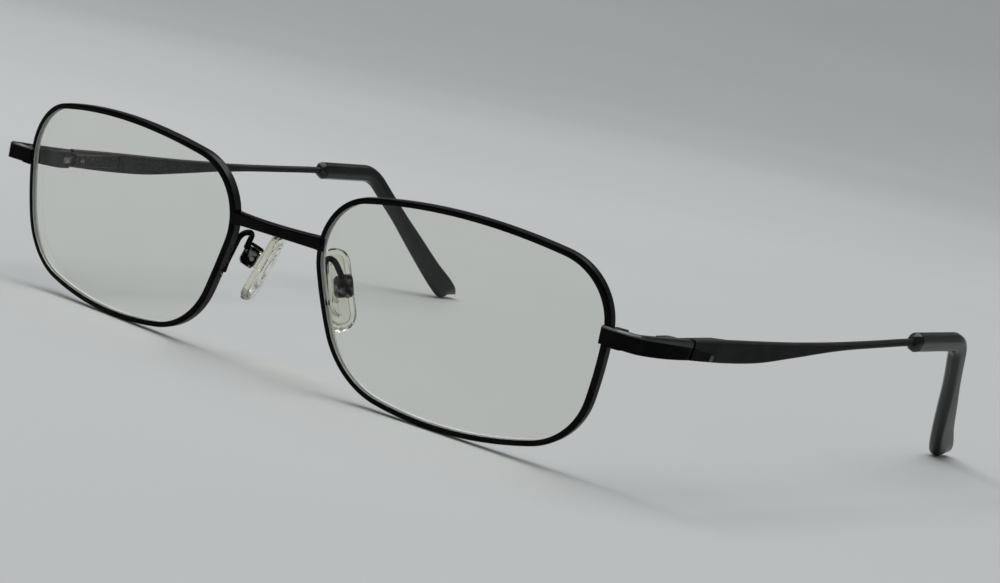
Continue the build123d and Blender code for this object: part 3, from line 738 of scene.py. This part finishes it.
def fillet_path(corners, radius, spacing):
    """Points along straight runs joined by arcs of one radius."""
    corners = [Vector(corner) for corner in corners]
    path = [corners[0]]
    for before, corner, after in zip(corners, corners[1:], corners[2:]):
        incoming = (corner - before).normalized()
        outgoing = (after - corner).normalized()
        turn = incoming.angle(outgoing)
        trim = radius * math.tan(turn / 2)
        start = corner - incoming * trim
        inward = (outgoing - incoming * outgoing.dot(incoming)).normalized()
        centre = start + inward * radius
        steps = max(3, round(radius * turn / spacing))
        for step in range(steps + 1):
            angle = turn * step / steps
            path.append(centre - inward * radius * math.cos(angle) + incoming * radius * math.sin(angle))
    path.append(corners[-1])
    return path


def even_path(path, spacing):
    """The same path with its long runs cut into steps."""
    result = [path[0]]
    for start, end in zip(path, path[1:]):
        steps = max(1, round((end - start).length / spacing))
        for step in range(1, steps + 1):
            result.append(start.lerp(end, step / steps))
    return result


def path_directions(path):
    """The direction of a path at each of its points."""
    directions = []
    for index in range(len(path)):
        before = path[max(index - 1, 0)]
        after = path[min(index + 1, len(path) - 1)]
        directions.append((after - before).normalized())
    return directions


def soft_octagon(width, height, bevel, rounding=0.3, steps=3):
    """Rectangle with bevelled corners, whose eight edges are slightly rounded."""
    half_width = width / 2
    half_height = height / 2
    corners = [
        (half_width, -half_height + bevel), (half_width, half_height - bevel),
        (half_width - bevel, half_height), (-half_width + bevel, half_height),
        (-half_width, half_height - bevel), (-half_width, -half_height + bevel),
        (-half_width + bevel, -half_height), (half_width - bevel, -half_height),
    ]
    outline = []
    for index, corner in enumerate(corners):
        here = Vector(corner)
        before = Vector(corners[index - 1])
        after = Vector(corners[(index + 1) % 8])
        reach = rounding * min((here - before).length, (after - here).length)
        start = here + (before - here).normalized() * reach
        end = here + (after - here).normalized() * reach
        for step in range(steps + 1):
            t = step / steps
            outline.append(start * (1 - t) ** 2 + here * 2 * t * (1 - t) + end * t * t)
    return outline


def leg_direction():
    """Direction of the leg behind the ear: inwards, back and down."""
    drop = math.radians(ear_drop_angle)
    inward = math.radians(ear_inward_angle)
    return Vector((
        -math.sin(inward), math.cos(inward) * math.cos(drop), -math.cos(inward) * math.sin(drop)
    ))


def facet_top(place):
    """Height of the facet's upper line on the blade."""
    along = (place - blade_start) / (facet_end - blade_start)
    return facet_top_at_joint + along * (facet_top_at_end - facet_top_at_joint)


def blade_places():
    """Where the sections of the blade lie, with no other one close to the facet's end."""
    end = tip_start + tip_mouth_depth
    tapered_end = blade_start + close_steps_share * (temple_straight_length - blade_start)
    places = [blade_start + blade_front_clearance, facet_end - facet_edge_width, facet_end, end]
    place = blade_start + blade_step
    while place < end:
        if abs(place - facet_end) > facet_end_clear_share * facet_edge_width:
            places.append(place)
        place += blade_step if place < tapered_end else wire_step
    return sorted(places)


def build_temple_blade(side):
    """Flat blade with its polished facet, thinning to a round wire that runs into the tip."""
    middle_x = knuckle_radius + arm_thickness / 2
    outer = knuckle_radius + arm_thickness
    lean = math.tan(math.radians(facet_lean_angle))
    loops = []
    for place in blade_places():
        share = (place - blade_start) / (temple_straight_length - blade_start)
        tall = max(0.0, smooth_table(blade_length_shares, blade_height_shares, share))
        height = wire_diameter + tall * (blade_height - wire_diameter)
        middle = wire_rise - blade_drop * smooth_table(blade_length_shares, blade_drop_shares, share)
        flat_share = min(1.0, tall / full_blade_share)
        rounding = wire_diameter / 2 - flat_share * (wire_diameter / 2 - blade_edge_rounding)
        rounding -= least_side_length / 2
        loop = []
        for across, up in rounded_box(arm_thickness, height, rounding, side_steps=8):
            x = middle_x + across
            z = middle + up
            if place < facet_end - facet_edge_width / 2 and z < facet_top(place):
                x = min(x, outer - lean * (facet_top(place) - z))
            loop.append((x, place, z))
        loops.append(loop)
    piece = add_piece("forged_blade", side, loops, place_temple, satin, sharp_angle=25)
    for finish in (polished, painted_highlight_metal, painted_top_sheen_metal, side_metal):
        piece.data.materials.append(finish)
    points = [Vector(point) for loop in loops for point in loop]
    for face in piece.data.polygons:
        middle = sum((points[index] for index in face.vertices), Vector()) / len(face.vertices)
        finish = satin
        # On the facet, polished metal; on the ramp at its end, the painted highlight.
        if middle.x > middle_x and middle.y < facet_end and middle.z < facet_top(middle.y):
            finish = polished if middle.y < facet_end - facet_edge_width else painted_highlight_metal
        # Faces turned upwards get the painted sheen.
        elif face.normal.z > painted_sheen_least_up:
            finish = painted_top_sheen_metal
        elif middle.x < middle_x - inner_face_share * arm_thickness:
            finish = side_metal
        face.material_index = piece.data.materials.find(finish.name)
    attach(piece, "temple_" + side)
    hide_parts("temple_blade_" + side)


def mouth_loops(mouth, backwards, across):
    """Sections of the cone that widens from the wire to the tip's neck."""
    loops = []
    for place, growth in zip(tip_flare_places, tip_flare_growths):
        middle = mouth + backwards * place * tip_flare_length
        height = tip_mouth_size + growth * (tip_neck_height - tip_mouth_size)
        width = tip_mouth_size + growth * (tip_neck_width - tip_mouth_size)
        bevel_share = tip_mouth_bevel_share - (tip_mouth_bevel_share - tip_bevel_share) * growth
        outline = soft_octagon(width, height, bevel_share * min(width, height))
        up = backwards.cross(-across)
        loops.append([tuple(middle + across * aside + up * rise) for aside, rise in outline])
    return loops


def build_ear_tip(side):
    """Moulded sleeve: polished mouth cone, neck, bend, and a leg that swells to a heeled end."""
    middle_x = knuckle_radius + arm_thickness / 2
    backwards = Vector((0, 1, 0))
    leg = leg_direction()
    across = backwards.cross(leg).normalized()
    corner = Vector((middle_x, temple_straight_length, wire_rise))
    mouth = Vector((middle_x, tip_start, wire_rise))
    leg_end = corner + leg * ear_leg_length
    bend_trim = ear_bend_radius * math.tan(backwards.angle(leg) / 2)
    bend_share = bend_trim / ear_leg_length
    path = even_path(fillet_path([mouth, corner, leg_end], ear_bend_radius, tip_bend_spacing), tip_step)
    stations = []
    for point, direction in zip(path, path_directions(path)):
        down = (point - corner).dot(leg) / ear_leg_length
        past_flare = (point - mouth).length > tip_flare_length + tip_flare_margin
        if past_flare and down <= tip_end_shares[0]:
            stations.append((point, direction, down))
    for down in tip_end_shares:
        stations.append((corner + leg * down * ear_leg_length, leg, down))
    leg_places = [bend_share] + tip_place_shares
    leg_heights = [tip_neck_height / tip_paddle_height] + tip_height_shares
    leg_widths = [tip_neck_width / tip_paddle_width] + tip_width_shares
    leg_leans = [0.0] + tip_lean_shares
    loops = mouth_loops(mouth, backwards, across)
    for point, direction, down in stations:
        on_leg = down > bend_share and (direction - leg).length < straight_tolerance
        share = down if on_leg else bend_share
        height = tip_paddle_height * smooth_table(leg_places, leg_heights, share)
        width = tip_paddle_width * smooth_table(leg_places, leg_widths, share)
        lean = tip_paddle_height * smooth_table(leg_places, leg_leans, share)
        to_back = direction.cross(across).normalized()
        heel_growth = max(0.0, (share - tip_heel_start) / (1 - tip_heel_start))
        heel = tip_heel_reach * heel_growth ** tip_heel_sharpness
        loop = []
        for aside, behind in soft_octagon(width, height, tip_bevel_share * min(width, height)):
            along = heel * max(0.0, 2 * behind / height) if on_leg else 0.0
            place = point + to_back * (lean + behind) + across * aside + direction * along
            loop.append(tuple(place))
        loops.append(loop)
    piece = add_piece("moulded_tip", side, loops, place_temple, tip_plastic, sharp_angle=50)
    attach(piece, "temple_" + side)
    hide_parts("ear_tip_" + side)


def build_bridge():
    """Bowed bar with rounded edges that swells where it is brazed to the eyewires."""
    half_span = (eye_centre_distance - eye_width) / 2 - rim_thickness / 2
    loops = []
    for step in range(bridge_steps + 1):
        share = 2 * step / bridge_steps - 1
        arch = 1 - share * share
        near_rim = max(0.0, (abs(share) - bridge_swell_start) / (1 - bridge_swell_start))
        swell = bridge_swell * near_rim ** 2
        height = bridge_height_in_middle + (bridge_height_at_rim - bridge_height_in_middle) * share ** 2
        depth = bridge_depth_in_middle + (bridge_depth_at_rim - bridge_depth_in_middle) * share ** 2
        loop = []
        for back, up in rounded_box(depth + swell, height + swell, bridge_rounding):
            loop.append((
                share * half_span,
                bridge_place_depth - bridge_bow * arch + back,
                bridge_place_height + bridge_rise * arch + up,
            ))
        loops.append(loop)
    piece = add_piece("bowed_bridge", "bar", loops, tilt_front, polished)
    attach(piece, "front")
    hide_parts("bridge")


def round_tube(path, radii, count=16):
    """Rings round a path, with a radius at each of its points."""
    directions = path_directions(path)
    side = directions[0].orthogonal().normalized()
    loops = []
    for point, direction, radius in zip(path, directions, radii):
        side = (side - direction * side.dot(direction)).normalized()
        other = direction.cross(side)
        loop = []
        for index in range(count):
            angle = 2 * math.pi * index / count
            loop.append(tuple(point + (side * math.cos(angle) + other * math.sin(angle)) * radius))
        loops.append(loop)
    return loops


def nose_side_place(height):
    """A place in the middle of the eyewire's nose side at a height, near the wire's back."""
    walk = eyewire_walk(rim_point_spacing)
    nose_side = [(point, outward) for point, outward in walk if outward.real < -side_facing]
    point, outward = min(nose_side, key=lambda place: abs(place[0].imag - height))
    middle = point + outward * rim_thickness / 2
    depth = ball_depth(middle.real, middle.imag, pad_arm_foot_depth_share * rim_depth)
    return place_eye @ Vector((middle.real, depth, middle.imag))


def build_pad_arm(side):
    """Round wire with a foot swelling into its braze on the back of the eyewire."""
    foot = nose_side_place(pad_arm_foot_height) + Vector((-pad_arm_foot_inset, pad_arm_foot_setback, 0))
    corners = [tilt_front @ Vector(place) for place in (pad_arm_front, pad_arm_back)]
    seat = place_pad @ Vector(pad_arm_seat)
    bent = fillet_path([foot, *corners, seat], pad_arm_bend_radius, pad_arm_bend_spacing)
    path = even_path(bent, pad_arm_step)
    radii = []
    for point in path:
        from_foot = (point - foot).length / pad_arm_width
        radii.append(pad_arm_width / 2 * (1 + pad_arm_foot_swell * math.exp(-from_foot * from_foot)))
    piece = add_piece("bent_pad_arm", side, round_tube(path, radii), Matrix.Identity(4), polished)
    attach(piece, "front")
    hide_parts("pad_arm_" + side)


def pad_box_section(inset):
    """The box from above, an outline round the slot that opens towards the pad."""
    front = pad_box_front - pad_lip_rounding_share * inset
    back = pad_box_front - pad_box_depth + inset
    half_width = pad_box_width / 2 - inset
    half_slot = pad_slot_width / 2
    corner = pad_box_corner
    lip = [(front, half_slot), (front, half_width - pad_lip_bevel), (front - pad_lip_depth, half_width)]
    section = list(lip)
    section += quarter_arc(back + corner, half_width - corner, corner, 90)
    section += quarter_arc(back + corner, corner - half_width, corner, 180)
    section += [(x, -y) for x, y in reversed(lip)]
    slot_end = pad_box_front - pad_box_depth + pad_box_back
    section += [(slot_end, -half_slot), (slot_end, half_slot)]
    return section


def build_pad_box(side):
    """Cast box, rounded like a nugget, with the slot for the stem of the pad."""
    loops = []
    for end in (-1, 1):
        for angle in pad_box_end_angles[::end]:
            turn = math.radians(angle)
            inset = pad_box_rounding * (1 - math.cos(turn))
            height = end * (pad_box_height / 2 - pad_box_end_rounding * (1 - math.sin(turn)))
            loops.append([(x, y, pad_box_rise + height) for x, y in pad_box_section(inset)])
    piece = add_piece("cast_pad_box", side, loops, place_pad, painted_glint_box, sharp_angle=50)
    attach(piece, "front")
    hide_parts("pad_box_" + side)


def pad_outline():
    """Outline of the pad with its outward directions, as complex numbers across and up."""
    top = pad_length / 2
    corners = [
        complex(pad_top_width / 2, top), complex(-pad_top_width / 2, top),
        complex(-pad_bottom_width / 2, -top), complex(pad_bottom_width / 2, -top),
    ]
    radii = [pad_top_radius, pad_top_radius, pad_bottom_radius, pad_bottom_radius]
    ways = [corners[(index + 1) % 4] - corners[index] for index in range(4)]
    ways = [way / abs(way) for way in ways]
    turns = [cmath.phase(ways[index] / ways[index - 1]) for index in range(4)]
    trims = [radius * math.tan(turn / 2) for radius, turn in zip(radii, turns)]
    outline = []
    for index in range(4):
        after = (index + 1) % 4
        first_outward = -1j * ways[index - 1]
        start = corners[index] - ways[index - 1] * trims[index]
        centre = start - first_outward * radii[index]
        for step in range(pad_corner_steps + 1):
            outward = first_outward * cmath.rect(1, turns[index] * step / pad_corner_steps)
            outline.append((centre + outward * radii[index], outward))
        end = centre + outward * radii[index]
        run = abs(corners[after] - ways[index] * trims[after] - end)
        steps = max(1, round(run / pad_side_step))
        for step in range(1, steps):
            outline.append((end + ways[index] * run * step / steps, outward))
    return outline


def build_nose_pad(side):
    """Soft pad with a domed face, a rounded rim and the recess for its hard insert."""
    outline = pad_outline()
    loops = []

    def ring(out, grown, shrink=1.0):
        grown_outline = [(point + outward * grown) * shrink for point, outward in outline]
        loops.append([(out, point.real, point.imag) for point in grown_outline])

    margin = core_plate_margin - core_clearance
    floor = core_plate_thickness + core_clearance
    ring(floor, -margin, pad_recess_middle_share)
    for rib_start in pad_rib_starts:
        rib_end = rib_start + pad_rib_share
        ring(floor, -margin, rib_start - pad_rib_slope_share)
        ring(floor + pad_rib_depth, -margin, rib_start)
        ring(floor + pad_rib_depth, -margin, rib_end)
        ring(floor, -margin, rib_end + pad_rib_slope_share)
    ring(floor, -margin)
    ring(0.0, -margin)
    for angle in pad_back_angles:
        turn = math.radians(angle)
        ring(pad_back_rounding * (1 - math.cos(turn)), pad_back_rounding * (math.sin(turn) - 1))
    rounding_start = pad_thickness - pad_dome_height - pad_front_rounding_depth
    for angle in pad_front_angles:
        turn = math.radians(angle)
        out = rounding_start + pad_front_rounding_depth * math.sin(turn)
        ring(out, pad_front_rounding_width * (math.cos(turn) - 1))
    for shrink in pad_dome_shares:
        ring(pad_thickness - pad_dome_height * shrink ** 2, -pad_front_rounding_width, shrink)
    piece = add_piece("silicone_pad", side, loops, place_pad, silicone, sharp_angle=60)
    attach(piece, "pad_" + side)
    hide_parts("nose_pad_" + side)


def soften(name, material, edge_width):
    """A solid that stays as it is, with its material and slightly rounded edges."""
    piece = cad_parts[name]
    piece.data.materials.clear()
    piece.data.materials.append(material)
    weld = piece.modifiers.new("weld", "WELD")
    weld.merge_threshold = weld_distance * millimetre
    if edge_width:
        bevel = piece.modifiers.new("bevel", "BEVEL")
        bevel.width = edge_width * millimetre
        bevel.segments = 2
        bevel.limit_method = "ANGLE"
        bevel.angle_limit = math.radians(rounded_edge_angle)
    piece.data.shade_smooth()
    piece.data.set_sharp_from_angle(angle=math.radians(sharp_edge_angle))


# Solids that keep their shape, with their material and the width of their rounded edges
solids_on_each_side = [
    ("closing_block_upper_", polished, 0.06),
    ("closing_block_lower_", polished, 0.06),
    ("end_piece_", end_piece_sheen_metal, 0.1),
    ("hinge_lug_", satin, 0.05),
    ("hinge_slider_", steel, 0.04),
    ("spring_box_", side_metal, 0.06),
    ("spring_stop_", steel, 0),
    ("stop_screw_", steel, 0.02),
    ("hinge_spring_", spring_steel, 0),
    ("pad_core_", insert, 0.05),
]
screws = [("closing_screws", 0.02), ("hinge_screws", 0.03), ("pad_screws", 0.03)]

for side in ("left", "right"):
    build_eyewire(side)
    build_lens(side)
    build_temple_blade(side)
    build_ear_tip(side)
    build_pad_arm(side)
    build_pad_box(side)
    build_nose_pad(side)
    for name, material, edge_width in solids_on_each_side:
        soften(name + side, material, edge_width)
build_bridge()
for name, edge_width in screws:
    soften(name, steel, edge_width)


# Room, lamps and camera

def build_room():
    """A pale floor that curves up into a wall all round."""
    floor_radius = 1.2
    bend_radius = 1.8
    wall_top = 2.2
    bend_steps = 14
    around = 96
    rings = [(floor_radius, 0.0)]
    for step in range(1, bend_steps + 1):
        angle = math.radians(90 * step / bend_steps)
        rings.append((floor_radius + bend_radius * math.sin(angle), bend_radius * (1 - math.cos(angle))))
    rings.append((floor_radius + bend_radius, wall_top))
    points = [(0, 0, 0)]
    faces = []
    for level, (radius, height) in enumerate(rings):
        for index in range(around):
            angle = 2 * math.pi * index / around
            points.append((radius * math.cos(angle), radius * math.sin(angle), height))
            after = (index + 1) % around
            if level == 0:
                faces.append((0, 1 + index, 1 + after))
            else:
                low = 1 + (level - 1) * around
                high = 1 + level * around
                faces.append((low + index, high + index, high + after, low + after))
    mesh = bpy.data.meshes.new("room")
    mesh.from_pydata(points, [], faces)
    mesh.shade_smooth()
    room = bpy.data.objects.new("room", mesh)
    bpy.context.scene.collection.objects.link(room)
    material, tree, shader = new_material("pale_floor")
    cloud = add_noise(tree, scale=3, detail=3)
    tone = two_tones(tree, cloud, dark=(0.50, 0.515, 0.515), light=(0.54, 0.555, 0.555))
    tree.links.new(tone, shader.inputs["Base Color"])
    shader.inputs["Roughness"].default_value = 0.75
    mesh.materials.append(material)


def add_lamp(name, place, aim, width, height, power):
    """A rectangular lamp at a place, turned to another one, in metres and watts."""
    lamp = bpy.data.lights.new(name, "AREA")
    lamp.shape = "RECTANGLE"
    lamp.size = width
    lamp.size_y = height
    lamp.energy = power
    lamp_object = bpy.data.objects.new(name, lamp)
    bpy.context.scene.collection.objects.link(lamp_object)
    lamp_object.location = place
    lamp_object.rotation_euler = (Vector(aim) - Vector(place)).to_track_quat("-Z", "Y").to_euler()


def add_world():
    """Even pale light from all round."""
    world = bpy.data.worlds.new("studio")
    bpy.context.scene.world = world
    world.use_nodes = True
    background = world.node_tree.nodes["Background"]
    background.inputs["Color"].default_value = (0.80, 0.81, 0.82, 1)
    background.inputs["Strength"].default_value = 0.45


build_room()
add_lamp("overhead", place=(-0.2, 0.3, 1.7), aim=(0, 0.1, 0), width=2.0, height=1.7, power=22.0)
add_lamp("left_window", place=(-0.85, -0.15, 1.15), aim=(0, 0, 0.02), width=0.4, height=0.4, power=3.0)
add_world()
bpy.context.scene.view_settings.view_transform = "Standard"

# Camera at the photograph's viewing angle. There the spectacles hang with their front tipped
# forwards, so the camera's angles are given in that upright frame and turned with the spectacles.
photo_tilt = 16.426
camera_azimuth = math.radians(37.726)
camera_elevation = math.radians(21.324)
camera_roll = math.radians(1.546)
camera_distance = 391.759
camera_across = 37.560
camera_raise = -3.932
level = math.cos(camera_elevation)
back = Vector((
    math.sin(camera_azimuth) * level, -math.cos(camera_azimuth) * level, math.sin(camera_elevation)
))
right = (-back).cross(Vector((0, 0, 1))).normalized()
up = right.cross(-back)
rolled_right = right * math.cos(camera_roll) + up * math.sin(camera_roll)
rolled_up = up * math.cos(camera_roll) - right * math.sin(camera_roll)
camera_place = back * camera_distance + rolled_right * camera_across + rolled_up * camera_raise
turn = Matrix((rolled_right, rolled_up, back)).transposed().to_4x4()
camera_data = bpy.data.cameras.new("camera")
camera_data.sensor_width = 36.0
camera_data.lens = 86.4
camera_data.clip_start = 0.01
camera_data.clip_end = 20.0
camera = bpy.data.objects.new("camera", camera_data)
bpy.context.scene.collection.objects.link(camera)
upright = Matrix.Rotation(math.radians(photo_tilt), 4, "X")
placed = to_table @ upright @ Matrix.Translation(camera_place) @ turn
camera.matrix_world = Matrix.LocRotScale(placed.to_translation(), placed.to_quaternion(), None)
bpy.context.scene.camera = camera
